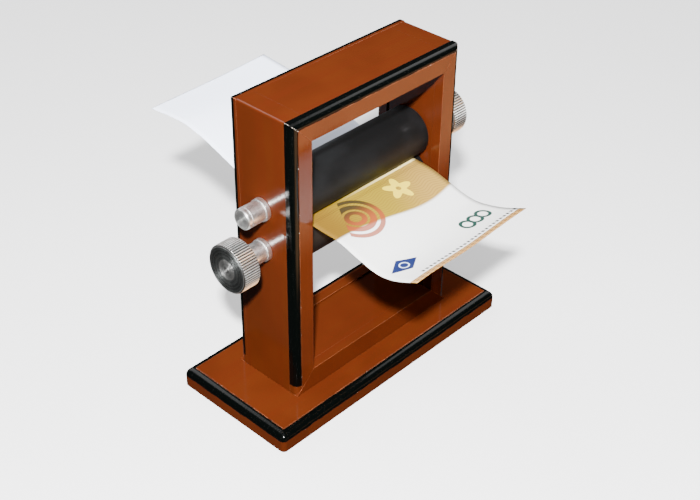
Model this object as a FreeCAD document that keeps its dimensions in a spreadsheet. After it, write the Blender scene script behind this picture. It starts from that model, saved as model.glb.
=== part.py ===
import FreeCAD, Part
import math
import os
import Sketcher

# Money printing magic machine, in millimetres.
# A wooden box frame, open front and back, stands on a moulded base plate. Two rollers lie across
# it, one over the other, joined by one long strip of black cloth that is wound on both of them in
# an S. A blank sheet goes in at the back under the cloth, and a printed note comes out in front.
# The origin is the middle of the base's underside, X runs along the rollers, the note comes out
# towards -Y and +Z is up.

document = FreeCAD.newDocument("MagicMachine")
sheet = document.addObject("Spreadsheet::Sheet", "sheet")

SIZES = {
    # base plate
    "base_length": 160.0,
    "base_width": 72.0,
    "base_side_height": 6.2,
    "base_round_radius": 3.7,
    "base_corner_radius": 2.4,
    # the step beside every rounded edge
    "bead_step": 0.4,
    "bead_ledge": 0.6,
    # box frame and its mitred trims
    "frame_width": 110.8,
    "frame_height": 151.0,
    "box_depth": 30.0,
    "board_thickness": 10.4,
    "board_edge_radius": 1.0,
    "trim_thickness": 5.4,
    "trim_width": 11.4,
    "trim_round_radius": 2.7,
    "mitre_overrun": 1.0,
    # roller axes, above the base's underside and from each other
    "lower_axis_height": 88.9,
    "axis_spacing": 22.2,
    # shafts and rollers
    "shaft_radius": 5.2,
    "shaft_clearance": 0.06,
    "shaft_chamfer": 0.5,
    "groove_width": 0.5,
    "groove_depth": 0.3,
    "groove_inset": 2.2,
    "roller_radius": 7.4,
    "roller_end_gap": 0.8,
    "upper_stub_reach": 13.0,
    "lower_stub_reach": 9.6,
    "collar_radius": 5.7,
    "collar_length": 2.2,
    "collar_gap": 0.2,
    # black cloth
    "cloth_thickness": 0.8,
    "cloth_roll_radius": 13.2,
    "cloth_edge_gap": 0.2,
    "nip_gap": 0.25,
    "nip_bend_radius": 4.0,
    "tuck_length": 1.2,
    # knurled knobs
    "knob_radius": 12.35,
    "knob_length": 9.9,
    "knob_chamfer": 0.7,
    "knob_rib_depth": 0.55,
    "knob_rib_count": 60,
    "knurl_overrun": 2.0,
    "upper_knob_gap": 9.9,
    "lower_knob_gap": 13.3,
    # sheets
    "sheet_width": 77.0,
    "sheet_thickness": 0.35,
    "nip_straight": 8.0,
    # wood screws up through the base into the side boards
    "screw_radius": 1.75,
    "screw_length": 26.0,
    "screw_tip_length": 4.0,
    "screw_head_radius": 3.4,
    "screw_head_height": 2.2,
    "screw_head_clearance": 0.25,
    "screw_head_recess": 0.5,
    "screw_spacing": 17.0,
}

for row, (name, value) in enumerate(SIZES.items(), start=1):
    sheet.set(f"A{row}", name.replace("_", " "))
    sheet.set(f"B{row}", str(value))
    sheet.setAlias(f"B{row}", name)
document.recompute()

# Sizes that follow from the sheet, as expressions
BASE_HEIGHT = "(sheet.base_side_height + sheet.base_round_radius + sheet.bead_step)"
HALF_FRAME = "(sheet.frame_width / 2)"
HALF_BOX = "(sheet.box_depth / 2)"
FRAME_TOP = f"({BASE_HEIGHT} + sheet.frame_height)"
LOWER_AXIS = "sheet.lower_axis_height"
UPPER_AXIS = "(sheet.lower_axis_height + sheet.axis_spacing)"
BORE_RADIUS = "(sheet.shaft_radius + sheet.shaft_clearance)"
INNER_WIDTH = "(sheet.frame_width - 2 * sheet.board_thickness)"
ROLLER_LENGTH = f"({INNER_WIDTH} - 2 * sheet.roller_end_gap)"
WINDING_RADIUS = (
    "(sheet.axis_spacing / 2 - sheet.cloth_thickness / 2 - 2 * sheet.nip_gap"
    " - sheet.sheet_thickness)"
)
SCREW_HEAD_TOP = "(sheet.screw_head_recess + sheet.screw_head_height)"


def number(expression):
    return float(sheet.evalExpression(expression.replace("sheet.", "")))


# Bodies, sketches and features


def new_body(name):
    body = document.addObject("PartDesign::Body", name)
    body.Label = name
    return body


def origin_feature(body, role):
    return next(part for part in body.Origin.OriginFeatures if part.Role == role)


def new_sketch(body, name, plane):
    sketch = body.newObject("Sketcher::SketchObject", f"{body.Name}_{name}")
    sketch.AttachmentSupport = [(origin_feature(body, plane), "")]
    sketch.MapMode = "FlatFace"
    return sketch


def bind(sketch, constraint, expression):
    index = sketch.addConstraint(constraint)
    sketch.setExpression(f"Constraints[{index}]", expression)


def fix_point(sketch, geometry, position, point):
    """Hold one end of a line or arc, or a centre, at a pair of expressions."""
    for direction, expression in zip(("DistanceX", "DistanceY"), point):
        value = number(expression)
        bind(
            sketch,
            Sketcher.Constraint(direction, -1, 1, geometry, position, value),
            expression,
        )


def vector(point):
    return FreeCAD.Vector(number(point[0]), number(point[1]), 0)


def add_outline(sketch, points):
    """Close an outline of straight lines through pairs of expressions. A point that has a third
    entry is the start of a quarter arc about that centre, which turns to the next point."""
    for index, point in enumerate(points):
        following = points[(index + 1) % len(points)]
        start, end = vector(point), vector(following)
        if len(point) == 2:
            line = sketch.addGeometry(Part.LineSegment(start, end))
            fix_point(sketch, line, 1, point)
            fix_point(sketch, line, 2, following[:2])
            continue
        centre = vector(point[2])
        radius = (start - centre).Length
        angles = sorted(
            math.atan2(spot.y - centre.y, spot.x - centre.x) % (2 * math.pi)
            for spot in (start, end)
        )
        circle = Part.Circle(centre, FreeCAD.Vector(0, 0, 1), radius)
        arc = sketch.addGeometry(Part.ArcOfCircle(circle, *angles))
        at_start = sketch.getPoint(arc, 1)
        start_first = (at_start - start).Length < (at_start - end).Length
        fix_point(sketch, arc, 1 if start_first else 2, point[:2])
        fix_point(sketch, arc, 3, point[2])
        other = 2 if start_first else 1
        across = number(following[0]), number(point[2][0])
        straight = 0 if abs(across[0] - across[1]) < 1e-6 else 1
        direction = ("DistanceX", "DistanceY")[straight]
        bind(
            sketch,
            Sketcher.Constraint(
                direction, -1, 1, arc, other, number(following[straight])
            ),
            following[straight],
        )


def add_rectangle(sketch, width, depth, centre=("0", "0")):
    low_x, high_x = f"{centre[0]} - {width} / 2", f"{centre[0]} + {width} / 2"
    low_y, high_y = f"{centre[1]} - {depth} / 2", f"{centre[1]} + {depth} / 2"
    add_outline(
        sketch, [(low_x, low_y), (high_x, low_y), (high_x, high_y), (low_x, high_y)]
    )


def add_circle(sketch, radius, centre=("0", "0")):
    circle = sketch.addGeometry(
        Part.Circle(vector(centre), FreeCAD.Vector(0, 0, 1), number(radius))
    )
    fix_point(sketch, circle, 3, centre)
    bind(
        sketch, Sketcher.Constraint("Radius", circle, number(radius)), radius
    )


def new_pad(body, sketch, length, both_ways=False):
    pad = body.newObject("PartDesign::Pad", f"{sketch.Name}_pad")
    pad.Profile = sketch
    pad.setExpression("Length", length)
    pad.SideType = "Symmetric" if both_ways else "One side"
    document.recompute()
    return pad


def new_pocket(body, sketch, length=None):
    """Cut a sketch out of its body, to a depth or right through both ways."""
    before = body.Shape.Volume
    pocket = body.newObject("PartDesign::Pocket", f"{sketch.Name}_pocket")
    pocket.Profile = sketch
    if length:
        pocket.setExpression("Length", length)
    else:
        pocket.Type = "ThroughAll"
        pocket.SideType = "Symmetric"
    document.recompute()
    if body.Shape.Volume > before - 1e-6:
        pocket.Reversed = True
        document.recompute()
    if body.Shape.Volume > before - 1e-6:
        raise ValueError(f"{pocket.Name} cuts nothing")
    return pocket


def edges_where(shape, wanted):
    return [f"Edge{index}" for index, edge in enumerate(shape.Edges, 1) if wanted(edge)]


def new_fillet(body, base, names, radius):
    fillet = body.newObject("PartDesign::Fillet", f"{base.Name}_fillet")
    fillet.Base = (base, names)
    fillet.setExpression("Radius", radius)
    document.recompute()
    return fillet


def new_chamfer(body, base, names, size):
    chamfer = body.newObject("PartDesign::Chamfer", f"{base.Name}_chamfer")
    chamfer.Base = (base, names)
    chamfer.setExpression("Size", size)
    document.recompute()
    return chamfer


def put(body, x="0", y="0", z="0", rotation=None):
    if rotation:
        body.Placement = FreeCAD.Placement(FreeCAD.Vector(), rotation)
    for axis, expression in zip("xyz", (x, y, z)):
        body.setExpression(f"Placement.Base.{axis}", expression)


def at_height(edge, height):
    return all(abs(vertex.Z - height) < 1e-4 for vertex in edge.Vertexes)


def upright(edge):
    return len(edge.Vertexes) == 2 and abs(edge.tangentAt(edge.FirstParameter).z) > 0.99


# Base plate: a slab whose top edge is rounded down from a low raised field, with a counterbored
# hole under each screw


def base_plate():
    body = new_body("base_plate")
    slab = new_sketch(body, "slab", "XY_Plane")
    add_rectangle(slab, "sheet.base_length", "sheet.base_width")
    slab_height = "sheet.base_side_height + sheet.base_round_radius"
    pad = new_pad(body, slab, slab_height)
    corners = edges_where(pad.Shape, upright)
    eased = new_fillet(body, pad, corners, "sheet.base_corner_radius")
    top = number(slab_height)
    rim = edges_where(eased.Shape, lambda edge: at_height(edge, top))
    new_fillet(body, eased, rim, "sheet.base_round_radius")
    field = new_sketch(body, "field", "XY_Plane")
    inset = "2 * (sheet.base_round_radius + sheet.bead_ledge)"
    add_rectangle(field, f"(sheet.base_length - {inset})", f"(sheet.base_width - {inset})")
    new_pad(body, field, BASE_HEIGHT)
    shank_holes = new_sketch(body, "shank_holes", "XY_Plane")
    head_holes = new_sketch(body, "head_holes", "XY_Plane")
    for x, y in screw_places():
        add_circle(shank_holes, "sheet.screw_radius", (x, y))
        add_circle(head_holes, "(sheet.screw_head_radius + sheet.screw_head_clearance)", (x, y))
    new_pocket(body, shank_holes)
    new_pocket(body, head_holes, SCREW_HEAD_TOP)


def screw_places():
    across = f"({HALF_FRAME} - sheet.board_thickness / 2)"
    along = "sheet.screw_spacing / 2"
    return [(f"{x} {across}", f"{y} {along}") for x in ("0 -", "0 +") for y in ("0 -", "0 +")]


def base_screws():
    """Four round-head wood screws, one node: head, shank and point turned about one axis."""
    radius, head = number("sheet.screw_radius"), number("sheet.screw_head_radius")
    seat, top = number("sheet.screw_head_recess"), number(SCREW_HEAD_TOP)
    length, tip = number("sheet.screw_length"), number("sheet.screw_tip_length")
    profile = [
        (0, seat),
        (head, seat),
        (head, top),
        (radius, top),
        (radius, top + length - tip),
        (0, top + length),
    ]
    corners = [FreeCAD.Vector(across, 0, height) for across, height in profile]
    face = Part.Face(Part.makePolygon(corners + corners[:1]))
    screw = face.revolve(FreeCAD.Vector(), FreeCAD.Vector(0, 0, 1), 360)
    screws = []
    for x, y in screw_places():
        copy = screw.copy()
        copy.translate(FreeCAD.Vector(number(x), number(y), 0))
        screws.append(copy)
    feature = document.addObject("Part::Feature", "base_screws")
    feature.Label = "base_screws"
    feature.Shape = Part.makeCompound(screws)


# Box frame: two side boards carry the shafts, with a top and a bottom board between them


def side_board(name, right):
    """Built with its outer face at x = 0 and its foot at z = 0, then turned to its side."""
    body = new_body(name)
    outline = new_sketch(body, "outline", "XZ_Plane")
    radius = "sheet.board_edge_radius"
    thick, high = "sheet.board_thickness", "sheet.frame_height"
    below = f"{high} - {radius}"
    add_outline(
        outline,
        [
            ("0", "0"),
            (thick, "0"),
            (thick, high),
            (radius, high, (radius, below)),
            ("0", below),
        ],
    )
    new_pad(body, outline, "sheet.box_depth", both_ways=True)
    bores = new_sketch(body, "bores", "YZ_Plane")
    for axis in (LOWER_AXIS, UPPER_AXIS):
        add_circle(bores, BORE_RADIUS, ("0", f"{axis} - {BASE_HEIGHT}"))
    new_pocket(body, bores)
    pilots = new_sketch(body, "pilots", "XY_Plane")
    for side in ("0 -", "0 +"):
        place = ("sheet.board_thickness / 2", f"{side} sheet.screw_spacing / 2")
        add_circle(pilots, "sheet.screw_radius", place)
    new_pocket(body, pilots, f"{SCREW_HEAD_TOP} + sheet.screw_length - {BASE_HEIGHT}")
    turn = FreeCAD.Rotation(FreeCAD.Vector(0, 0, 1), 180 if right else 0)
    put(body, f"{'' if right else '0 - '}{HALF_FRAME}", "0", BASE_HEIGHT, turn)


def cross_board(name, foot):
    body = new_body(name)
    outline = new_sketch(body, "outline", "XY_Plane")
    add_rectangle(outline, INNER_WIDTH, "sheet.box_depth")
    new_pad(body, outline, "sheet.board_thickness")
    put(body, z=foot)


# Trims: four mitred mouldings round the front opening and four round the back one


def trim(name, length, rounded, axes, corner):
    """A moulding along its own Z, outer edge at x = 0 and glued face at y = 0, with both ends
    mitred, then turned so that its own axes lie along the given ones."""
    body = new_body(name)
    section = new_sketch(body, "section", "XY_Plane")
    wide, thick = "sheet.trim_width", "sheet.trim_thickness"
    radius, ledge = "sheet.trim_round_radius", "sheet.bead_ledge"
    shoulder = f"{thick} - sheet.bead_step"
    if rounded:
        outer = [
            (f"{radius} + {ledge}", thick),
            (f"{radius} + {ledge}", shoulder),
            (radius, shoulder, (radius, f"{shoulder} - {radius}")),
            ("0", f"{shoulder} - {radius}"),
        ]
    else:
        outer = [("0", thick)]
    add_outline(section, [("0", "0"), (wide, "0"), (wide, thick)] + outer)
    new_pad(body, section, length)
    mitres = new_sketch(body, "mitres", "XZ_Plane")
    spare = "sheet.mitre_overrun"
    far = f"{wide} + {spare}"
    add_outline(mitres, [(f"0 - {spare}", f"0 - {spare}"), (far, f"0 - {spare}"), (far, far)])
    above = f"{length} + {spare}"
    add_outline(mitres, [(f"0 - {spare}", above), (far, f"{length} - ({far})"), (far, above)])
    new_pocket(body, mitres)
    directions = [FreeCAD.Vector(*axis) for axis in axes]
    put(body, *corner, FreeCAD.Rotation(*directions, "XYZ"))


def trims():
    left, right = f"0 - {HALF_FRAME}", HALF_FRAME
    pieces = {
        "left": ("sheet.frame_height", (1, 0, 0), left, FRAME_TOP),
        "right": ("sheet.frame_height", (-1, 0, 0), right, BASE_HEIGHT),
        "top": ("sheet.frame_width", (0, 0, -1), right, FRAME_TOP),
        "bottom": ("sheet.frame_width", (0, 0, 1), left, BASE_HEIGHT),
    }
    for end, outward in (("front", -1), ("rear", 1)):
        for side, (length, across, x, z) in pieces.items():
            inward = FreeCAD.Vector(*across)
            face = FreeCAD.Vector(0, outward, 0)
            if outward > 0 and across[0]:
                # a rear upright starts from the other end of its length
                z = FRAME_TOP if z == BASE_HEIGHT else BASE_HEIGHT
            if outward > 0 and across[2]:
                x = left if x == right else right
            axes = [tuple(inward), tuple(face), tuple(inward.cross(face))]
            y = f"{'0 - ' if outward < 0 else ''}{HALF_BOX}"
            trim(f"{end}_trim_{side}", length, side != "bottom", axes, (x, y, z))


# Shafts, rollers and knobs: the upper shaft has its knob on the right, the lower on the left


def turned_about_x(body, name, points):
    sketch = new_sketch(body, name, "XY_Plane")
    add_outline(sketch, points)
    revolution = body.newObject("PartDesign::Revolution", f"{sketch.Name}_turned")
    revolution.Profile = sketch
    revolution.ReferenceAxis = (sketch, ["H_Axis"])
    revolution.Angle = 360
    document.recompute()


def shaft(name, axis, stub_reach, knob_gap, right):
    """A rod whose free end is a chamfered stub with a turned groove. The knob covers the other
    end. It is drawn with the stub towards -X."""
    body = new_body(name)
    radius, chamfer = "sheet.shaft_radius", "sheet.shaft_chamfer"
    stub = f"(0 - {HALF_FRAME} - {stub_reach})"
    far = f"({HALF_FRAME} + {knob_gap} + sheet.knob_length)"
    groove = f"({stub} + sheet.groove_inset)"
    bottom = f"{radius} - sheet.groove_depth"
    turned_about_x(
        body,
        "profile",
        [
            (stub, "0"),
            (far, "0"),
            (far, radius),
            (f"{groove} + sheet.groove_width", radius),
            (f"{groove} + sheet.groove_width", bottom),
            (groove, bottom),
            (groove, radius),
            (f"{stub} + {chamfer}", radius),
            (stub, f"{radius} - {chamfer}"),
        ],
    )
    turn = FreeCAD.Rotation(FreeCAD.Vector(0, 0, 1), 0 if right else 180)
    put(body, z=axis, rotation=turn)


def sleeve(name, inner, outer, length, start, axis):
    """A plain ring about X, pressed or glued on what is inside it."""
    body = new_body(name)
    ring = new_sketch(body, "ring", "YZ_Plane")
    add_circle(ring, outer)
    add_circle(ring, inner)
    new_pad(body, ring, length)
    put(body, x=start, z=axis)


def collars(row, axis):
    """Rings pressed on a shaft just outside the boards, which stop it sliding along."""
    gap, length = "sheet.collar_gap", "sheet.collar_length"
    starts = {
        "left": f"0 - {HALF_FRAME} - {gap} - {length}",
        "right": f"{HALF_FRAME} + {gap}",
    }
    for side, start in starts.items():
        name = f"{row}_{side}_collar"
        sleeve(name, "sheet.shaft_radius", "sheet.collar_radius", length, start, axis)


def knob(name, axis, gap, right):
    """A straight-knurled disc: chamfered rims, V grooves all round and a bore for the shaft."""
    body = new_body(name)
    disc = new_sketch(body, "disc", "YZ_Plane")
    add_circle(disc, "sheet.knob_radius")
    pad = new_pad(body, disc, "sheet.knob_length")
    rims = edges_where(pad.Shape, lambda edge: edge.Closed and len(edge.Vertexes) == 1)
    new_chamfer(body, pad, rims, "sheet.knob_chamfer")
    groove = new_sketch(body, "groove", "YZ_Plane")
    half_pitch = "(180 deg / sheet.knob_rib_count)"
    bottom = "sheet.knob_radius - sheet.knob_rib_depth"
    # the groove's sides run from its bottom through two rib crests and on past the rim
    overrun = "sheet.knurl_overrun"
    rise = f"(sheet.knob_radius * cos({half_pitch}) - ({bottom})) * {overrun}"
    half_mouth = f"sheet.knob_radius * sin({half_pitch}) * {overrun}"
    mouth = f"{bottom} + {rise}"
    add_outline(groove, [("0", bottom), (half_mouth, mouth), (f"0 - {half_mouth}", mouth)])
    pocket = new_pocket(body, groove)
    pattern = body.newObject("PartDesign::PolarPattern", f"{name}_knurl")
    pattern.Originals = [pocket]
    pattern.Axis = (origin_feature(body, "X_Axis"), [""])
    pattern.Angle = 360
    pattern.setExpression("Occurrences", "sheet.knob_rib_count")
    body.Tip = pattern
    document.recompute()
    bore = new_sketch(body, "bore", "YZ_Plane")
    add_circle(bore, "sheet.shaft_radius")
    new_pocket(body, bore)
    turn = FreeCAD.Rotation(FreeCAD.Vector(0, 0, 1), 0 if right else 180)
    put(body, f"{'' if right else '0 - '}({HALF_FRAME} + {gap})", "0", axis, turn)


def roller_set(row, axis, stub_reach, knob_gap, right):
    shaft(f"{row}_shaft", axis, stub_reach, knob_gap, right)
    start = f"0 - {ROLLER_LENGTH} / 2"
    core = "sheet.roller_radius"
    sleeve(f"{row}_roller", "sheet.shaft_radius", core, ROLLER_LENGTH, start, axis)
    sleeve(f"{row}_winding", core, WINDING_RADIUS, ROLLER_LENGTH, start, axis)
    collars(row, axis)
    knob(f"{row}_knob", axis, knob_gap, right)


# Black cloth: the outer turn on each roller and the stretch through the nip between them. The
# path is tangent arcs in (y, z) about the nip, and its lower half is the upper half turned round.


def strip_arcs():
    """Centre, radius, start and end angle of each arc, in degrees, from the end that is tucked in
    over the note, round the upper roller, through the nip and round the lower roller."""
    half, bend = number("sheet.axis_spacing") / 2, number("sheet.nip_bend_radius")
    radius = number("sheet.cloth_roll_radius - sheet.cloth_thickness / 2")
    layer = number("sheet.cloth_thickness + sheet.sheet_thickness + 2 * sheet.nip_gap")
    centres = []
    for side, height in ((-1, layer), (1, 0)):
        rise = half - height - bend
        centres.append((side * math.sqrt((radius - bend) ** 2 - rise**2), height + bend))
    tangents = [math.degrees(math.atan2(z - half, y)) for y, z in centres]
    tucked, nip = centres
    upper = [
        (tucked, bend, 270, tangents[0] % 360),
        ((0, half), radius, tangents[0] % 360, tangents[1]),
        (nip, bend, tangents[1], -90),
    ]
    lower = [
        ((-centre[0], -centre[1]), size, last + 180, first + 180)
        for centre, size, first, last in reversed(upper)
    ]
    return upper + lower


def on_circle(centre, radius, degrees):
    angle = math.radians(degrees)
    middle = number(f"{LOWER_AXIS} + sheet.axis_spacing / 2")
    return FreeCAD.Vector(
        0, centre[0] + radius * math.cos(angle), middle + centre[1] + radius * math.sin(angle)
    )


def strip_side(offset):
    """One face of the strip, as edges: offset is how far below the path it lies in the nip."""
    spots = []
    for centre, radius, first, last in strip_arcs():
        size = radius + offset if last < first else radius - offset
        angles = (first, (first + last) / 2, last)
        spots.append([on_circle(centre, size, angle) for angle in angles])
    tuck = FreeCAD.Vector(0, number("sheet.tuck_length"), 0)
    edges = [Part.makeLine(spots[0][0] + tuck, spots[0][0])]
    for index, (start, middle, end) in enumerate(spots):
        edges.append(Part.Arc(start, middle, end).toShape())
        if index + 1 < len(spots) and (spots[index + 1][0] - end).Length > 1e-6:
            edges.append(Part.makeLine(end, spots[index + 1][0]))
    edges.append(Part.makeLine(spots[-1][2], spots[-1][2] - tuck))
    return edges


def cloth_strip():
    half = number("sheet.cloth_thickness") / 2
    sides = [strip_side(half), strip_side(-half)]
    firsts = [side[0].Vertexes[0].Point for side in sides]
    lasts = [side[-1].Vertexes[-1].Point for side in sides]
    caps = [Part.makeLine(*firsts), Part.makeLine(*lasts)]
    outline = Part.Wire(Part.__sortEdges__(sides[0] + sides[1] + caps))
    width = number(f"{ROLLER_LENGTH} - 2 * sheet.cloth_edge_gap")
    strip = Part.Face(outline).extrude(FreeCAD.Vector(width, 0, 0))
    strip.translate(FreeCAD.Vector(-width / 2, 0, 0))
    feature = document.addObject("Part::Feature", "cloth_strip")
    feature.Label = "cloth_strip"
    feature.Shape = strip


# Sheets: each lies straight in the nip and then curls freely, a little differently on its left
# and right edges. The points are (distance out, height over the straight part).

NOTE_LEFT = [(20, -0.7), (32, -1.3), (43, -4.0), (55, -6.4), (65, -5.3), (78.1, -0.3)]
NOTE_RIGHT = [(20, -0.7), (32, -3.6), (46, -7.1), (54, -6.8), (65, -3.8), (78.1, 2.3)]
BLANK_LEFT = [(20, 2.8), (37, 9.2), (51, 14.1), (61.6, 17.3), (75, 19.4), (98.8, 17.8)]
BLANK_RIGHT = [(20, 2.8), (37, 8.9), (51, 13.6), (61.6, 16.4), (77, 18.7), (98.8, 20.6)]


def sheet_edge(x, points, outward, level):
    """The closed outline of a sheet's edge: top and bottom curves, a sheet's thickness apart."""
    half = number("sheet.sheet_thickness") / 2
    straight = number("sheet.nip_straight")
    sides = []
    for lift in (half, -half):
        spots = [(straight, 0)] + points
        curve = Part.BSplineCurve()
        curve.interpolate(
            [FreeCAD.Vector(x, outward * y, level + z + lift) for y, z in spots],
            InitialTangent=FreeCAD.Vector(0, outward, 0),
            FinalTangent=FreeCAD.Vector(
                0, outward * (spots[-1][0] - spots[-2][0]), spots[-1][1] - spots[-2][1]
            ),
        )
        inner = FreeCAD.Vector(x, 0, level + lift)
        sides.append([Part.makeLine(inner, curve.StartPoint), curve.toShape()])
    caps = [
        Part.makeLine(sides[0][1].Curve.EndPoint, sides[1][1].Curve.EndPoint),
        Part.makeLine(sides[1][0].Vertexes[0].Point, sides[0][0].Vertexes[0].Point),
    ]
    return Part.Wire(Part.__sortEdges__(sides[0] + [caps[0]] + sides[1] + [caps[1]]))


def curled_sheet(name, left, right, outward):
    """Over the cloth in front, under it at the back."""
    layer = number("(sheet.cloth_thickness + sheet.sheet_thickness) / 2 + sheet.nip_gap")
    level = number(f"{LOWER_AXIS} + sheet.axis_spacing / 2") - outward * layer
    half = number("sheet.sheet_width") / 2
    edges = [
        sheet_edge(-half, left, outward, level),
        sheet_edge(half, right, outward, level),
    ]
    feature = document.addObject("Part::Feature", name)
    feature.Label = name
    feature.Shape = Part.makeLoft(edges, True, True)


def check_and_export():
    document.recompute()
    for item in document.Objects:
        if "Invalid" in item.State or "Error" in item.State:
            raise ValueError(f"{item.Label} failed: {item.State}")
    kept = [
        item
        for item in document.Objects
        if item.TypeId in ("PartDesign::Body", "Part::Feature")
    ]
    for item in kept:
        if item.Shape.isNull() or not item.Shape.isValid():
            raise ValueError(f"{item.Label} has no valid shape")
    os.makedirs("parts", exist_ok=True)
    for item in kept:
        item.Shape.exportStep(f"parts/{item.Label}.step")
        print(f"{item.Label}: {len(item.Shape.Solids)} solid(s), {item.Shape.Volume:.1f} mm3")


base_plate()
side_board("left_side_board", right=False)
side_board("right_side_board", right=True)
cross_board("top_board", f"{FRAME_TOP} - sheet.board_thickness")
cross_board("bottom_board", BASE_HEIGHT)
trims()
base_screws()
roller_set("upper", UPPER_AXIS, "sheet.upper_stub_reach", "sheet.upper_knob_gap", right=True)
roller_set("lower", LOWER_AXIS, "sheet.lower_stub_reach", "sheet.lower_knob_gap", right=False)
cloth_strip()
curled_sheet("printed_note", NOTE_LEFT, NOTE_RIGHT, outward=-1)
curled_sheet("blank_sheet", BLANK_LEFT, BLANK_RIGHT, outward=1)
check_and_export()
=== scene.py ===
import math

import bmesh
import bpy
from mathutils import Euler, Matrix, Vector, noise


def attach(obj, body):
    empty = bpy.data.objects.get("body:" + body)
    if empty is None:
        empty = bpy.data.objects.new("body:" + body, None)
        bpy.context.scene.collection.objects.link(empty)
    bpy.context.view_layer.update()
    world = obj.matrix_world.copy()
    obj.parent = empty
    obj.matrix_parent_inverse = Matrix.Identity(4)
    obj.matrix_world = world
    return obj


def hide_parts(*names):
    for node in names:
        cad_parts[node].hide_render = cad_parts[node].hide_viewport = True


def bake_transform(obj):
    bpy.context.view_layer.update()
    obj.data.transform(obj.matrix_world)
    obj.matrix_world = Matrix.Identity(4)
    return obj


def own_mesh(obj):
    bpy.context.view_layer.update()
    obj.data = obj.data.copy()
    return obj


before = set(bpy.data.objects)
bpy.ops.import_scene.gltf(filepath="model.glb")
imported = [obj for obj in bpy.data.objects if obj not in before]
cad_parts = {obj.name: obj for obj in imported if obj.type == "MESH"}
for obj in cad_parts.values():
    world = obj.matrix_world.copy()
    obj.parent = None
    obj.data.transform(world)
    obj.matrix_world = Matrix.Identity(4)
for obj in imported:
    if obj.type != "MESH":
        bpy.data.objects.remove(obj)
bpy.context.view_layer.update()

# The machine's own sizes, in millimetres, with X along the rollers, the note coming out towards -Y
# and the base standing on z = 0.
MM = 0.001
BASE_HALF_LENGTH = 80.0
BASE_HALF_WIDTH = 36.0
BASE_SIDE_HEIGHT = 6.2
BASE_TOP = 10.3
FRAME_HALF_WIDTH = 55.4
FRAME_TOP = 161.3
HALF_BOX = 15.0
TRIM_THICKNESS = 5.4
TRIM_ROUND = 2.7
EDGE_BAND = 3.3
BASE_EDGE_BAND = 4.3
LOWER_AXIS = 88.9
UPPER_AXIS = 111.1
NIP = 100.0
ROLLER_HALF_LENGTH = 44.2
ROLLER_RADIUS = 7.4
CLOTH_THICKNESS = 0.8
CLOTH_ROLL_RADIUS = 13.2
CLOTH_HALF_WIDTH = 44.0
NIP_BEND_RADIUS = 4.0
CLOTH_TURNS = 1.96
CLOTH_TURN_GAP = 0.02
CLOTH_LUMP_HEIGHT = 0.05
CLOTH_LUMP_PITCH = 14.0
TUCK_LENGTH = 1.2
KNOB_RADIUS = 12.35
KNOB_FACE_RADIUS = 11.5
SHEET_HALF_WIDTH = 38.5
SHEET_OVER_NIP = 0.825
PAPER_THICKNESS = 0.16
NOTE_OUT = 78.1
BLANK_OUT = 98.8
FEED = 62.0
# The first millimetre of the note out of the nip holds the length that is still wound in.
PACKED = 1.0
# Just inside the end faces of each rod and its knob, along X
UPPER_END_FACES = (-68.3, 75.1)
LOWER_END_FACES = (-78.5, 64.9)


# Node materials


class Wire:
    """An output socket of the material being made. Arithmetic on it adds Math nodes."""

    tree = None

    def __init__(self, socket):
        self.socket = socket

    @classmethod
    def node(cls, kind, settings, sockets, output=0):
        """Add a node: its settings first, then the value or wire of each socket."""
        made = cls.tree.nodes.new(kind)
        for name, value in settings.items():
            setattr(made, name, value)
        for name, value in sockets.items():
            if isinstance(value, Wire):
                cls.tree.links.new(value.socket, made.inputs[name])
            else:
                made.inputs[name].default_value = value
        return cls(made.outputs[output]) if made.outputs else None

    def math(self, operation, *others):
        sockets = dict(enumerate((self, *others)))
        return Wire.node("ShaderNodeMath", {"operation": operation}, sockets)

    def __add__(self, other):
        return self.math("ADD", other)

    __radd__ = __add__

    def __sub__(self, other):
        return self.math("SUBTRACT", other)

    def __rsub__(self, other):
        return Wire.node("ShaderNodeMath", {"operation": "SUBTRACT"}, {0: other, 1: self})

    def __mul__(self, other):
        return self.math("MULTIPLY", other)

    __rmul__ = __mul__

    def __abs__(self):
        return self.math("ABSOLUTE")


def step(value, low, high):
    """0 below low, 1 above high and smooth between. With low above high it falls instead."""
    settings = {"interpolation_type": "SMOOTHSTEP"}
    if low < high:
        return Wire.node("ShaderNodeMapRange", settings, {0: value, 1: low, 2: high})
    return 1 - Wire.node("ShaderNodeMapRange", settings, {0: value, 1: high, 2: low})


def stripe(value, centre, half_width, blur):
    """1 within half_width of the centre and 0 outside it."""
    return step(abs(value - centre), half_width + blur, half_width - blur)


def wave(value, pitch, shift=0.0):
    """Swings between 0 and 1 once in every pitch."""
    return ((value + shift) * (2 * math.pi / pitch)).math("SINE") * 0.5 + 0.5


def radius_of(across, up):
    """How far a point is from a centre, from its distances to it in two directions."""
    return (across * across + up * up).math("SQRT")


def mix(share, first, second):
    """Blend two colours, each a wire or an (r, g, b)."""
    sockets = {0: share}
    for index, colour in ((6, first), (7, second)):
        sockets[index] = colour if isinstance(colour, Wire) else (*colour, 1)
    return Wire.node("ShaderNodeMix", {"data_type": "RGBA"}, sockets, output=2)


def combine(x, y, z):
    return Wire.node("ShaderNodeCombineXYZ", {}, {0: x, 1: y, 2: z})


def parts_of(vector):
    node = Wire.node("ShaderNodeSeparateXYZ", {}, {0: vector}).socket.node
    return [Wire(output) for output in node.outputs]


def place_mm():
    """The point's place in the machine's frame, as three wires in millimetres."""
    at = Wire.node("ShaderNodeTexCoord", {}, {}, output="Object")
    return [part * 1000 for part in parts_of(at)]


def speckle(vector, scale, detail=2.0, roughness=0.5):
    sockets = {"Vector": vector, "Scale": scale, "Detail": detail, "Roughness": roughness}
    return Wire.node("ShaderNodeTexNoise", {}, sockets)


def bump(height, depth_mm, under=None):
    sockets = {"Strength": 1.0, "Distance": depth_mm * MM, "Height": height}
    if under:
        sockets["Normal"] = under
    return Wire.node("ShaderNodeBump", {}, sockets)


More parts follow.
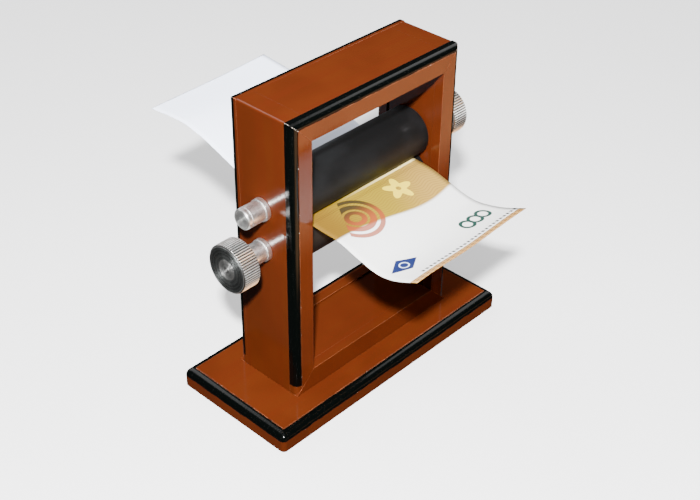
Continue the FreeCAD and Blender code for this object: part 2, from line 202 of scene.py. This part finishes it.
def eased_edges(radius_mm):
    """The normal on an edge that paint or a file has rounded."""
    return Wire.node("ShaderNodeBevel", {"samples": 6}, {"Radius": radius_mm * MM})


def seen_by_camera():
    return Wire.node("ShaderNodeLightPath", {}, {}, output="Is Camera Ray")


def new_material(name):
    material = bpy.data.materials.new(name)
    material.use_nodes = True
    Wire.tree = material.node_tree
    Wire.tree.nodes.clear()
    return material


def principled(wires, constants):
    return Wire.node("ShaderNodeBsdfPrincipled", {}, {**constants, **wires})


def close(shader):
    """Finish the material being made with this shader."""
    Wire.node("ShaderNodeOutputMaterial", {}, {"Surface": shader})


def shade(wires, constants):
    close(principled(wires, constants))


BROWN_DEEP = (0.0470, 0.0090, 0.0023)
BROWN_WARM = (0.0545, 0.0109, 0.0026)
BROWN_RED = (0.0540, 0.0090, 0.0025)
# Lighter brown along edges and joints: a painted highlight.
BROWN_EDGE_HIGHLIGHT = (0.26, 0.088, 0.040)
BLACK_PAINT = (0.0006, 0.0009, 0.0008)
DUST = (0.09, 0.095, 0.09)
PRIMER = (0.50, 0.44, 0.38)
BROWN_GLOSS = {"Specular IOR Level": 0.16}
BLACK_GLOSS = {"Specular IOR Level": 0.11}
BRUSH_MARK_DEPTH = 0.022
ALUMINIUM = (0.94, 0.94, 0.93)
ALUMINIUM_DULL = (0.80, 0.80, 0.79)
ALUMINIUM_SMEARED = (0.40, 0.40, 0.39)
ALUMINIUM_CENTRE = (0.65, 0.65, 0.63)
# End-face colours, darker than the turned rims: painted shade for the dim surroundings that the
# faces mirror.
ROD_FACES_PAINTED_DARK = ((0.42, 0.42, 0.41), (0.25, 0.25, 0.245))
KNOB_FACES_PAINTED_DARK = ((0.33, 0.345, 0.34), (0.17, 0.178, 0.175))
# Painted shade with dirt in the knurl's grooves.
KNURL_GROOVE_SHADE_AND_DIRT = (0.04, 0.04, 0.039)
CLOTH_BLACK = (0.0016, 0.0016, 0.0017)
CLOTH_WORN = (0.0032, 0.0034, 0.0037)
CLOTH_SCUFFED = (0.03, 0.03, 0.031)
WOOD_PALE = (0.52, 0.35, 0.19)
WOOD_DARK = (0.34, 0.20, 0.095)
STEEL_DULL = (0.42, 0.42, 0.43)
STEEL_BRIGHT = (0.62, 0.61, 0.59)


def enamel(name, brush_axis, strokes, easing, black_share=None):
    """Hand-brushed gloss enamel in reddish brown. The brush marks run along one axis. Where
    black_share is given, it works out from the place how black the paint is and where pale flecks
    lie along the mitres, chipped paint with a painted highlight along the mitre, and the brown is
    painted lighter along its edges and joints as a painted highlight line."""
    material = new_material(name)
    x, y, z = place_mm()
    stretch = {"x": (0.03, 1, 1), "z": (1, 1, 0.03)}[brush_axis]
    strokes_at = combine(x * stretch[0], y * stretch[1], z * stretch[2])
    spot = combine(x, y, z)
    cloud = speckle(spot, 0.035)
    stroke = speckle(strokes_at, 0.9, 3.0)
    fine = speckle(strokes_at, 3.2, 2.0)
    ripple = speckle(spot, 0.4, 2.0)
    soft_normal = eased_edges(easing)
    brown = mix(step(cloud, 0.35, 0.65), BROWN_DEEP, BROWN_WARM)
    brown = mix(step(speckle(strokes_at, 0.16), 0.45, 0.65) * 0.5, brown, BROWN_RED)
    rough = 0.045 + 0.05 * stroke
    height = strokes * stroke + 0.25 * fine + 0.9 * ripple
    if not black_share:
        normal = bump(height, BRUSH_MARK_DEPTH, soft_normal)
        shade({"Base Color": brown, "Roughness": rough, "Normal": normal}, BROWN_GLOSS)
        return material
    flat_normal = Wire.node("ShaderNodeNewGeometry", {}, {}, output="True Normal")
    alike = Wire.node(
        "ShaderNodeVectorMath",
        {"operation": "DOT_PRODUCT"},
        {0: soft_normal, 1: flat_normal},
        output="Value",
    )
    # Painted highlight: the brown is lighter along edges and inside corners, where they catch the
    # light.
    edge = step(alike, 0.99, 0.90) * step(speckle(strokes_at, 0.35, 2.0), 0.30, 0.60)
    brown = mix(edge * 0.75, brown, BROWN_EDGE_HIGHLIGHT)
    wander = (speckle(spot, 0.13, 2.0) - 0.5) * 0.9
    black, mitre_chips_and_glint = black_share(x, y, z, wander)
    dust = step(speckle(spot, 2.6, 2.0), 0.69, 0.76)
    dark = mix(dust * 0.25, BLACK_PAINT, DUST)
    # Pale flecks along the mitres: chipped paint, and a painted highlight along the mitre.
    dark = mix(mitre_chips_and_glint * step(speckle(spot, 2.1, 2.0), 0.50, 0.60), dark, PRIMER)
    bare = stripe(black, 0.5, 0.3, 0.15) * step(speckle(spot, 0.8, 3.0), 0.66, 0.73)
    brown = mix(bare, brown, PRIMER)
    normal = bump(height + 1.6 * black, BRUSH_MARK_DEPTH, soft_normal)
    brown_coat = principled(
        {"Base Color": brown, "Roughness": rough, "Normal": normal}, BROWN_GLOSS
    )
    black_coat = principled(
        {"Base Color": dark, "Roughness": rough + 0.08 + 0.1 * dust, "Normal": normal},
        BLACK_GLOSS,
    )
    close(Wire.node("ShaderNodeMixShader", {}, {0: black, 1: brown_coat, 2: black_coat}))
    return material


def black_on_frame(x, y, z, wander):
    """The rounded outer edges of the trims, down to a little above the base. The front trims are
    black on the sides of the frame too, and the rear ones only where they are rounded. Along the
    mitres the paint gets pale flecks: chipped paint, and a painted highlight along the mitre."""
    from_side = FRAME_HALF_WIDTH - abs(x)
    from_top = FRAME_TOP - z
    inset = from_side.math("MINIMUM", from_top) + wander * 0.35
    foot = step(z + wander * 2, BASE_TOP + 4.6, BASE_TOP + 5.2)
    rear_start = HALF_BOX + TRIM_THICKNESS - TRIM_ROUND - 1.1
    skipped = step(y + wander * 0.4, HALF_BOX - 0.1, HALF_BOX) * step(
        y + wander * 0.4, rear_start + 0.1, rear_start - 0.1
    )
    black = step(inset, EDGE_BAND + 0.12, EDGE_BAND - 0.12) * foot * (1 - skipped)
    # Pale flecks along the mitres: chipped paint, and a painted highlight where the mitre catches
    # the light.
    mitre_chips_and_glint = step(abs(from_side - from_top), 0.34, 0.16)
    return black, mitre_chips_and_glint


def black_on_base(x, y, z, wander):
    """The base's rounded edge, between its brown side and its brown field."""
    from_end = BASE_HALF_LENGTH - abs(x)
    from_side = BASE_HALF_WIDTH - abs(y)
    inset = from_end.math("MINIMUM", from_side) + wander * 0.3
    above = step(z + wander * 1.8, BASE_SIDE_HEIGHT - 0.2, BASE_SIDE_HEIGHT + 0.2)
    black = step(inset, BASE_EDGE_BAND + 0.1, BASE_EDGE_BAND - 0.1) * above
    return black, 0.0


def turned_metal(name, axis_height, faces, rough, painted_dark_face_colours, rib_tops=None):
    """Aluminium turned about a line along X: fine rings round its rims, and cut rings on its end
    faces, which lie beyond the two places along X in faces. The end faces are painted darker than
    the rims, as painted shade for the dim surroundings they mirror. Where rib_tops gives the radius
    of a knurl, its grooves below the tops are painted dark: painted shade in the recesses, with
    dirt."""
    material = new_material(name)
    x, y, z = place_mm()
    up = z - axis_height
    radius = radius_of(y, up)
    ring_at = combine(x, radius, 0.0)
    rings = speckle(ring_at, 3.4, 3.0, 0.7)
    coarse = speckle(ring_at, 0.9, 2.0)
    smear = speckle(combine(x * 0.5, y, up), 0.9, 4.0, 0.65)
    tint = mix(step(coarse, 0.4, 0.65), ALUMINIUM, ALUMINIUM_DULL)
    tint = mix(step(smear, 0.48, 0.66) * 0.55, tint, ALUMINIUM_SMEARED)
    low, high = faces
    on_face = step(x, low, low - 0.1).math("MAXIMUM", step(x, high - 0.1, high))
    on_face = on_face * step(radius, KNOB_FACE_RADIUS, KNOB_FACE_RADIUS - 0.3)
    # The end faces are painted darker than the rims: painted shade standing in for the dim
    # surroundings they mirror.
    painted_dark_face = mix(step(coarse, 0.35, 0.7), *painted_dark_face_colours)
    painted_dark_face = mix(step(radius, 0.9, 0.5), painted_dark_face, ALUMINIUM_CENTRE)
    tint = mix(on_face, tint, painted_dark_face)
    if rib_tops:
        # The knurl's grooves below the rib tops are painted dark: painted shade in the recesses,
        # with dirt.
        groove_shade_and_dirt = step(radius, rib_tops - 0.12, rib_tops - 0.42)
        groove_shade_and_dirt = groove_shade_and_dirt * step(radius, KNOB_FACE_RADIUS, KNOB_FACE_RADIUS + 0.2)
        tint = mix(groove_shade_and_dirt * 0.92, tint, KNURL_GROOVE_SHADE_AND_DIRT)
    height = rings + 0.5 * coarse + on_face * (5.0 * wave(radius, 0.41) + 4.0 * coarse)
    normal = bump(height, 0.03, eased_edges(0.08))
    roughness = rough + 0.14 * rings + 0.10 * smear
    roughness = roughness * (1 + on_face * (-0.28 if rib_tops else 0.1))
    shade({"Base Color": tint, "Roughness": roughness, "Normal": normal}, {"Metallic": 1.0})
    return material


def black_cloth():
    """Smooth black cloth with a tight weave that shows only close up, and a few faint scuffs."""
    material = new_material("black_cloth")
    x, y, z = place_mm()
    spot = combine(x, y, z)
    weave = wave(x, 0.55) * 0.5 + wave(z + y, 0.55) * 0.5
    scuff_at = combine(x * 0.25, y, z)
    scuff = step(speckle(scuff_at, 1.3, 4.0, 0.7), 0.68, 0.74)
    worn = step(speckle(spot, 0.06, 3.0), 0.4, 0.7)
    colour = mix(worn, CLOTH_BLACK, CLOTH_WORN)
    colour = mix(scuff * 0.5, colour, CLOTH_SCUFFED)
    height = weave * 0.35 + speckle(spot, 0.5, 2.0) * 0.35
    shade(
        {
            "Base Color": colour,
            "Roughness": 0.52 + 0.05 * worn + 0.1 * scuff,
            "Normal": bump(height, 0.05),
        },
        {"Specular IOR Level": 0.19},
    )
    return material


def dowel_wood():
    material = new_material("roller_wood")
    x, y, z = place_mm()
    grain = speckle(combine(x * 0.05, y, z), 1.6, 4.0)
    colour = mix(step(grain, 0.35, 0.7), WOOD_PALE, WOOD_DARK)
    shade(
        {"Base Color": colour, "Roughness": 0.55 + 0.15 * grain, "Normal": bump(grain, 0.06)},
        {"Specular IOR Level": 0.4},
    )
    return material


def screw_steel():
    material = new_material("screw_steel")
    x, y, z = place_mm()
    dull = speckle(combine(x, y, z), 0.8, 3.0)
    colour = mix(dull, STEEL_DULL, STEEL_BRIGHT)
    shade({"Base Color": colour, "Roughness": 0.3 + 0.25 * dull}, {"Metallic": 1.0})
    return material


def sheet_place():
    """Millimetres across the sheet from its left edge and along it from the nip."""
    vector = Wire.node(
        "ShaderNodeAttribute",
        {"attribute_type": "GEOMETRY", "attribute_name": "sheet_place"},
        {},
        output="Vector",
    )
    across, along, _ = parts_of(vector)
    return across * 1000, along * 1000


def paper(name, ink):
    """Thin paper, printed by a function of the millimetres across and along it."""
    material = new_material(name)
    across, along = sheet_place()
    spot = combine(across, along, 0.0)
    fibre = speckle(spot, 2.2, 3.0, 0.6)
    crease = speckle(spot, 0.07, 2.0)
    colour = ink(across, along, fibre)
    normal = bump(fibre + 2.2 * crease, 0.03)
    shade(
        {"Base Color": colour, "Roughness": 0.62 + 0.2 * fibre, "Normal": normal},
        {"Specular IOR Level": 0.28},
    )
    return material


PAPER_COOL = (0.74, 0.80, 0.95)
PAPER_BRIGHT = (0.79, 0.845, 0.98)
NOTE_WHITE = (0.60, 0.60, 0.59)
NOTE_FIBRE = (0.84, 0.84, 0.82)
OCHRE = (0.125, 0.068, 0.0014)
GOLD = (0.21, 0.145, 0.0035)
BEIGE = (0.27, 0.165, 0.028)
RUST = (0.11, 0.042, 0.004)
UMBER = (0.05, 0.022, 0.004)
STRAW = (0.70, 0.58, 0.26)
YELLOW = (0.62, 0.47, 0.02)
ORANGE = (0.22, 0.038, 0.006)
OLIVE = (0.014, 0.009, 0.003)
DARK_GREEN = (0.003, 0.030, 0.022)
BLUE = (0.0018, 0.0080, 0.060)
PALE_BLUE = (0.55, 0.62, 0.80)
STRIP_DARK = (0.17, 0.075, 0.016)
STRIP_PALE = (0.34, 0.19, 0.06)
TICK_BLACK = (0.012, 0.010, 0.010)


def blank_ink(across, along, fibre):
    return mix(fibre, PAPER_COOL, PAPER_BRIGHT)


def note_ink(across, along, fibre):
    """A made-up design of plain shapes. Each part is printed over the ones before it, and along is
    below 0 on the half that is still wound in."""
    colour = mix(fibre * 0.5, NOTE_WHITE, NOTE_FIBRE)
    colour = print_wash(colour, across, along)
    colour = print_fan(colour, across, along, fibre)
    colour = print_medallion(colour, across, along)
    colour = print_flower(colour, across, along)
    colour = print_chain(colour, across, along)
    colour = print_lozenge(colour, across, along)
    return print_end_strip(colour, across, along)


def print_wash(colour, across, along):
    """A wash from ochre to beige with fine waved lines, a pale band and three thin lines."""
    swell = 6 * wave(across, 96.0, 18.0)
    wash = step(along + swell, 37.0, 35.0) * step(along - swell, -49.0, -47.0)
    lines = step(wave(along + 1.6 * wave(across, 13.0), 1.5), 0.62, 0.85)
    field = mix(step(across, 4.0, 34.0), OCHRE, GOLD)
    field = mix(step(across + 0.4 * along, 48.0, 78.0), field, BEIGE)
    field = mix(lines * 0.35, field, RUST)
    colour = mix(wash, colour, field)
    pale_band = stripe(along, 9.5, 0.9, 0.3) * step(across, 20.0, 60.0)
    colour = mix(pale_band * 0.8, colour, STRAW)
    for line in (5.2, 13.0, 14.0):
        colour = mix(stripe(along, line, 0.13, 0.08) * 0.6, colour, UMBER)
    return colour


def print_fan(colour, across, along, fibre):
    """A fan of arcs, olive near the nip and orange on its outer side."""
    x, y = across - 19.0, along - 24.0
    radius = radius_of(x, y)
    arcs = stripe(radius, 4.2, 1.3, 0.2)
    for middle, half_width in ((8.4, 1.6), (12.8, 1.2)):
        arcs = arcs.math("MAXIMUM", stripe(radius, middle, half_width, 0.2))
    arcs = arcs * step(x + y * 0.6, -7.0, -6.5)
    fan_colour = mix(step(along, 16.0, 30.0), OLIVE, ORANGE)
    return mix(arcs * (0.86 + 0.1 * fibre), colour, fan_colour)


def print_medallion(colour, across, along):
    """A medallion of fine rings, a little wider than it is long, on the half still wound in."""
    radius = radius_of(across - 40.0, (along + 24.0) * math.sqrt(1.3))
    disc = step(radius, 15.2, 14.8)
    rings = step(wave(radius, 2.5), 0.35, 0.65)
    disc_colour = mix(step(radius, 3.0, 13.0), ORANGE, OLIVE)
    return mix(disc * (0.15 + 0.7 * rings), colour, disc_colour)


def print_flower(colour, across, along):
    """Five yellow petals with an open middle."""
    x, y = across - 52.0, along - 21.0
    radius = radius_of(x, y)
    angle = Wire.node("ShaderNodeMath", {"operation": "ARCTAN2"}, {0: y, 1: x})
    lobes = (angle * 5.0).math("COSINE") * 2.0
    petals = step(radius - lobes, 6.2, 5.8) * step(radius, 1.2, 1.6)
    return mix(petals * 0.85, colour, YELLOW)


def print_chain(colour, across, along):
    """Three dark green rings, linked."""
    for centre in (57.0, 62.6, 68.2):
        ring = stripe(radius_of(across - centre, (along - 60.0) * 0.8), 2.9, 0.75, 0.12)
        colour = mix(ring, colour, DARK_GREEN)
    return colour


def print_lozenge(colour, across, along):
    """A blue lozenge with a pale ring."""
    x, y = abs(across - 12.5), abs(along - 60.0)
    lozenge = step(x * 0.62 + y, 5.4, 5.1)
    ring = stripe(radius_of(x, y), 2.2, 0.28, 0.15)
    colour = mix(lozenge, colour, BLUE)
    return mix(lozenge * ring, colour, PALE_BLUE)


def print_end_strip(colour, across, along):
    """A checked strip along the end, with a row of small dark ticks beside it."""
    strip = step(along, 74.2, 74.5)
    check = wave(across, 3.4).math("MAXIMUM", wave(along, 1.6))
    colour = mix(strip, colour, mix(step(check, 0.5, 0.7), STRIP_DARK, STRIP_PALE))
    ticks = stripe(along, 72.3, 0.85, 0.15) * step(wave(across, 2.6), 0.38, 0.52)
    return mix(ticks * step(across, 9.0, 10.0), colour, TICK_BLACK)


# Pieces


def new_piece(name, verts, faces, material, body, replaced):
    """A smooth mesh, from points in millimetres, in place of the CAD nodes in replaced."""
    mesh = bpy.data.meshes.new(name)
    mesh.from_pydata([Vector(vert) * MM for vert in verts], [], faces)
    mesh.update()
    mesh.polygons.foreach_set("use_smooth", [True] * len(mesh.polygons))
    mesh.materials.append(material)
    piece = bpy.data.objects.new(name, mesh)
    bpy.context.collection.objects.link(piece)
    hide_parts(*replaced)
    if body:
        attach(piece, body)
    return piece


def ribbon(name, path, half_width, lump_height, body, replaced):
    """A strip of cloth along a path of (y, z) points, softly uneven, with rounded selvedges."""
    normals = []
    for index, (y, z) in enumerate(path):
        before = path[max(index - 1, 0)]
        after = path[min(index + 1, len(path) - 1)]
        run = Vector((after[0] - before[0], after[1] - before[1])).normalized()
        normals.append((-run.y, run.x))
    half = CLOTH_THICKNESS / 2
    flat_half = half_width - half
    selvedge_steps, flat_steps = 4, 22
    section = []
    for side in (1, -1):
        for number in range(selvedge_steps + 1):
            angle = math.radians(90 - 180 * number / selvedge_steps)
            section.append(
                (side * (flat_half + half * math.cos(angle)), side * half * math.sin(angle))
            )
        for number in range(1, flat_steps):
            share = 1 - 2 * number / flat_steps
            section.append((side * share * flat_half, -side * half))
    verts = []
    for (y, z), (normal_y, normal_z) in zip(path, normals):
        for x, off in section:
            off += lump_height * noise.noise(Vector((x, y, z)) / CLOTH_LUMP_PITCH)
            verts.append((x, y + off * normal_y, z + off * normal_z))
    size = len(section)
    faces = []
    for row in range(len(path) - 1):
        for column in range(size):
            following = (column + 1) % size
            low, high = row * size, (row + 1) * size
            faces.append((low + column, high + column, high + following, low + following))
    faces.append(tuple(range(size)))
    faces.append(tuple(reversed(range(len(verts) - size, len(verts)))))
    piece = new_piece(name, verts, faces, CLOTH, body, replaced)
    mend_normals(piece)
    return piece


def mend_normals(piece):
    shell = bmesh.new()
    shell.from_mesh(piece.data)
    bmesh.ops.recalc_face_normals(shell, faces=shell.faces)
    shell.to_mesh(piece.data)
    shell.free()


def strip_path():
    """The strip's middle line: tucked in over the note, round the upper roll, through the nip and
    round the lower roll. Its lower half is its upper half turned round about the nip."""
    half_spacing = (UPPER_AXIS - LOWER_AXIS) / 2
    radius = CLOTH_ROLL_RADIUS - CLOTH_THICKNESS / 2
    tuck_height = 2 * SHEET_OVER_NIP
    centres = []
    for side, height in ((-1, tuck_height), (1, 0)):
        rise = half_spacing - height - NIP_BEND_RADIUS
        reach = math.sqrt((radius - NIP_BEND_RADIUS) ** 2 - rise**2)
        centres.append((side * reach, height + NIP_BEND_RADIUS))
    tucked_join, nip_join = [math.degrees(math.atan2(z - half_spacing, y)) for y, z in centres]
    tucked_join %= 360
    tucked, nip = centres
    arcs = [
        (tucked, NIP_BEND_RADIUS, 270, tucked_join),
        ((0, half_spacing), radius, tucked_join, nip_join),
        (nip, NIP_BEND_RADIUS, nip_join, -90),
    ]
    upper = [(tucked[0] + TUCK_LENGTH, tucked[1] - NIP_BEND_RADIUS)]
    for centre, size, first, last in arcs:
        steps = max(4, round(abs(last - first) / 6))
        for number in range(steps + 1):
            angle = math.radians(first + (last - first) * number / steps)
            spot = (centre[0] + size * math.cos(angle), centre[1] + size * math.sin(angle))
            if math.dist(spot, upper[-1]) > 0.2:
                upper.append(spot)
    lower = [(-y, -z) for y, z in reversed(upper)]
    return [(y, z + NIP) for y, z in upper + lower]


def spiral_path(axis_height, turns, way):
    """The wound turns inside a roll, from the wooden roller outwards."""
    pitch = CLOTH_THICKNESS + CLOTH_TURN_GAP
    first = ROLLER_RADIUS + CLOTH_THICKNESS / 2 + CLOTH_TURN_GAP
    steps = round(turns * 48)
    path = []
    for number in range(steps + 1):
        share = number / steps
        radius = first + pitch * turns * share
        angle = way * 2 * math.pi * turns * share
        path.append((radius * math.cos(angle), axis_height + radius * math.sin(angle)))
    return path


# Each sheet's side edges: distance out from the nip, and height above its place in the nip
NOTE_NIP = [(0, 0), (8, 0), (20, -0.7)]
NOTE_LEFT = NOTE_NIP + [(32, -1.3), (43, -4.0), (55, -6.4), (65, -5.3), (NOTE_OUT, -0.3)]
NOTE_RIGHT = NOTE_NIP + [(32, -3.6), (46, -7.1), (54, -6.8), (65, -3.8), (NOTE_OUT, 2.3)]
BLANK_NIP = [(0, 0), (8, 0), (20, 2.8)]
BLANK_LEFT = BLANK_NIP + [(37, 9.2), (51, 14.1), (61.6, 17.3), (75, 19.4), (BLANK_OUT, 17.8)]
BLANK_RIGHT = BLANK_NIP + [(37, 8.9), (51, 13.6), (61.6, 16.4), (77, 18.7), (BLANK_OUT, 20.6)]


def through(points, place):
    """Height of a smooth curve through (distance, height) points. It is level in the nip."""
    slopes = []
    for index in range(len(points)):
        before = points[max(index - 1, 0)]
        after = points[min(index + 1, len(points) - 1)]
        slopes.append((after[1] - before[1]) / (after[0] - before[0]))
    slopes[:2] = [0.0, 0.0]
    index = 0
    while index < len(points) - 2 and place > points[index + 1][0]:
        index += 1
    (low, low_height), (high, high_height) = points[index], points[index + 1]
    span = high - low
    t = (place - low) / span
    return (
        low_height * (1 + 2 * t) * (1 - t) ** 2
        + slopes[index] * span * t * (1 - t) ** 2
        + high_height * t * t * (3 - 2 * t)
        + slopes[index + 1] * span * t * t * (t - 1)
    )


def paper_sheet(name, left, right, outward, rows, ripple, material, replaced):
    """A thin sheet from the nip outwards. rows pairs each distance out with the millimetres of
    paper between it and the nip."""
    columns = 26
    level = NIP - outward * SHEET_OVER_NIP
    half = PAPER_THICKNESS / 2
    middle = []
    for distance, _ in rows:
        for number in range(columns + 1):
            share = number / columns
            x = SHEET_HALF_WIDTH * (2 * share - 1)
            height = (1 - share) * through(left, distance) + share * through(right, distance)
            freedom = min(1.0, max(0.0, (distance - 10) / 30))  # held flat near the nip
            height += freedom * ripple(x, distance)
            middle.append((x, outward * distance, level + height))
    verts, places = [], []
    for lift in (half, -half):
        for index, (x, y, z) in enumerate(middle):
            verts.append((x, y, z + lift))
            along = rows[index // (columns + 1)][1]
            places += [(x + SHEET_HALF_WIDTH) * MM, along * MM, 0.0]
    wide, count = columns + 1, len(middle)
    faces = []
    for row in range(len(rows) - 1):
        for column in range(columns):
            corner = row * wide + column
            ring = (corner, corner + 1, corner + wide + 1, corner + wide)
            faces.append(ring)
            faces.append(tuple(count + index for index in reversed(ring)))
    edge = (
        list(range(wide))
        + [row * wide + columns for row in range(1, len(rows))]
        + [count - 2 - column for column in range(columns)]
        + [row * wide for row in range(len(rows) - 2, 0, -1)]
    )
    for first, second in zip(edge, edge[1:] + edge[:1]):
        faces.append((second, first, count + first, count + second))
    piece = new_piece(name, verts, faces, material, None, replaced)
    attribute = piece.data.attributes.new("sheet_place", "FLOAT_VECTOR", "POINT")
    attribute.data.foreach_set("vector", places)
    mend_normals(piece)
    return piece


def smooth_share(share):
    """From 0 to 1, slow at both ends."""
    return share * share * (3 - 2 * share)


def note_ripple(x, distance):
    return 0.35 * math.sin(x / 9.0 + distance / 16.0) + 0.25 * math.sin(x / 21.0 - distance / 9.0)


def blank_ripple(x, distance):
    return 0.3 * math.sin(x / 17.0 + distance / 24.0)


def printed_note():
    """The print of the length that is still wound in is packed into the first millimetre out of the
    nip.
    """
    packed_rows, open_rows = 32, 84
    rows = []
    for number in range(packed_rows + 1):
        share = number / packed_rows
        rows.append((PACKED * share, PACKED * share + FEED * (smooth_share(share) - 1)))
    for number in range(1, open_rows + 1):
        out = PACKED + (NOTE_OUT - PACKED) * number / open_rows
        rows.append((out, out))
    piece = paper_sheet(
        "note_sheet",
        NOTE_LEFT,
        NOTE_RIGHT,
        -1,
        rows,
        note_ripple,
        NOTE,
        ["printed_note"],
    )
    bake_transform(piece)


def blank_sheet():
    """Slants up from the nip towards the back, fixed to the frame."""
    count = 96
    rows = [(BLANK_OUT * number / count, BLANK_OUT * number / count) for number in range(count + 1)]
    piece = paper_sheet(
        "blank_paper_sheet",
        BLANK_LEFT,
        BLANK_RIGHT,
        1,
        rows,
        blank_ripple,
        BLANK,
        ["blank_sheet"],
    )
    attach(piece, "frame")
    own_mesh(piece)


BOARD_PAINT = enamel("board_paint", "z", 1.1, 0.12)
CROSS_PAINT = enamel("cross_board_paint", "x", 0.7, 0.12)
UPRIGHT_TRIM_PAINT = enamel("upright_trim_paint", "z", 0.7, 0.3, black_on_frame)
CROSS_TRIM_PAINT = enamel("cross_trim_paint", "x", 0.7, 0.3, black_on_frame)
BASE_PAINT = enamel("base_paint", "x", 1.6, 0.3, black_on_base)
CLOTH = black_cloth()
WOOD = dowel_wood()
STEEL = screw_steel()
NOTE = paper("note_paper", note_ink)
BLANK = paper("blank_paper", blank_ink)
FINISHES = {
    "base_plate": BASE_PAINT,
    "left_side_board": BOARD_PAINT,
    "right_side_board": BOARD_PAINT,
    "top_board": CROSS_PAINT,
    "bottom_board": CROSS_PAINT,
    "base_screws": STEEL,
}
for end in ("front", "rear"):
    for side in ("left", "right"):
        FINISHES[f"{end}_trim_{side}"] = UPRIGHT_TRIM_PAINT
    for side in ("top", "bottom"):
        FINISHES[f"{end}_trim_{side}"] = CROSS_TRIM_PAINT
for row, axis_height, faces in (
    ("upper", UPPER_AXIS, UPPER_END_FACES),
    ("lower", LOWER_AXIS, LOWER_END_FACES),
):
    rod = turned_metal(f"{row}_turned_aluminium", axis_height, faces, 0.24, ROD_FACES_PAINTED_DARK)
    knurl = turned_metal(
        f"{row}_knurled_aluminium", axis_height, faces, 0.28, KNOB_FACES_PAINTED_DARK, KNOB_RADIUS
    )
    FINISHES[f"{row}_shaft"] = rod
    FINISHES[f"{row}_left_collar"] = rod
    FINISHES[f"{row}_right_collar"] = rod
    FINISHES[f"{row}_knob"] = knurl
    FINISHES[f"{row}_roller"] = WOOD

for node, finish in FINISHES.items():
    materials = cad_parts[node].data.materials
    if len(materials) == 0:
        materials.append(finish)
    for index in range(len(materials)):
        materials[index] = finish

ribbon(
    "cloth_strip_wrap",
    strip_path(),
    CLOTH_HALF_WIDTH,
    CLOTH_LUMP_HEIGHT,
    "frame",
    ["cloth_strip"],
)
for row, axis_height, way in (("upper", UPPER_AXIS, 1), ("lower", LOWER_AXIS, -1)):
    ribbon(
        f"{row}_wound_cloth",
        spiral_path(axis_height, CLOTH_TURNS, way),
        ROLLER_HALF_LENGTH,
        0.0,
        f"{row}_roller",
        [f"{row}_winding"],
    )
printed_note()
blank_sheet()


# Studio


FLOOR_PALE = (0.74, 0.74, 0.745)
FLOOR_GLOW = (1.2, 1.2, 1.205)
FLOOR_DIM = (0.015, 0.015, 0.015)
FLOOR_WARM = (0.96, 0.52, 0.25)


def pale_floor():
    """The camera sees a plain pale floor, which glows more with distance so that it doesn't turn
    dark far from the lights. The machine's gloss mirrors it as dim, with a warm patch in front and
    to the right."""
    bpy.ops.mesh.primitive_plane_add(size=8.0, location=(0, 0, 0))
    floor = bpy.context.object
    floor.name = "studio_floor"
    material = new_material("studio_floor")
    x, y, _ = place_mm()
    seen = seen_by_camera()
    patch = step(y, -105.0, -150.0) * step(y, -520.0, -380.0)
    patch = patch * step(x, -150.0, -60.0) * step(x, 560.0, 420.0)
    colour = mix(seen, mix(patch, FLOOR_DIM, FLOOR_WARM), FLOOR_PALE)
    far = step(radius_of(x, y), 350.0, 1800.0)
    glow = mix(seen * (far * 0.9 + 0.1), (0.0, 0.0, 0.0), FLOOR_GLOW)
    shade(
        {"Base Color": colour, "Emission Color": glow},
        {"Roughness": 0.9, "Specular IOR Level": 0.0, "Emission Strength": 1.0},
    )
    floor.data.materials.append(material)


def studio_air():
    """Bright where the camera looks past the floor, and dim where it lights the machine."""
    world = bpy.data.worlds.new("studio_air")
    bpy.context.scene.world = world
    world.use_nodes = True
    background = world.node_tree.nodes["Background"]
    background.inputs["Color"].default_value = (0.96, 0.97, 1.0, 1)
    Wire.tree = world.node_tree
    strength = seen_by_camera() * 1.2 + 0.06
    Wire.tree.links.new(strength.socket, background.inputs["Strength"])


def softbox(name, place, size, power):
    """A rectangular light, aimed at the middle of the machine and not seen by the camera."""
    data = bpy.data.lights.new(name, "AREA")
    data.shape = "RECTANGLE"
    data.size, data.size_y = size
    data.energy = power
    light = bpy.data.objects.new(name, data)
    light.location = place
    aim = Vector((0, 0, 0.09)) - light.location
    light.rotation_euler = aim.to_track_quat("-Z", "Y").to_euler()
    light.visible_camera = False
    bpy.context.collection.objects.link(light)


def studio():
    pale_floor()
    studio_air()
    softbox("key_softbox", (-0.455, -0.405, 0.64), (0.04, 0.04), 47)
    softbox("overhead_softbox", (-0.5, -0.35, 1.5), (1.2, 1.2), 8)
    softbox("rear_softbox", (0.0, 1.2, 1.1), (1.2, 0.9), 22)
    softbox("right_softbox", (1.1, -0.05, 1.0), (0.9, 0.8), 13)


def photo_camera():
    """Fitted to the straight edges of the base and the frame in the photograph."""
    data = bpy.data.cameras.new("photo_camera")
    data.lens = 65.17
    data.sensor_width = 36.0
    data.clip_start = 0.02
    camera = bpy.data.objects.new("photo_camera", data)
    camera.location = (-0.37581, -0.35492, 0.42746)
    tilt = (54.5964, -0.5784, -46.4150)
    camera.rotation_euler = Euler([math.radians(angle) for angle in tilt], "XYZ")
    bpy.context.collection.objects.link(camera)
    bpy.context.scene.camera = camera


studio()
photo_camera()
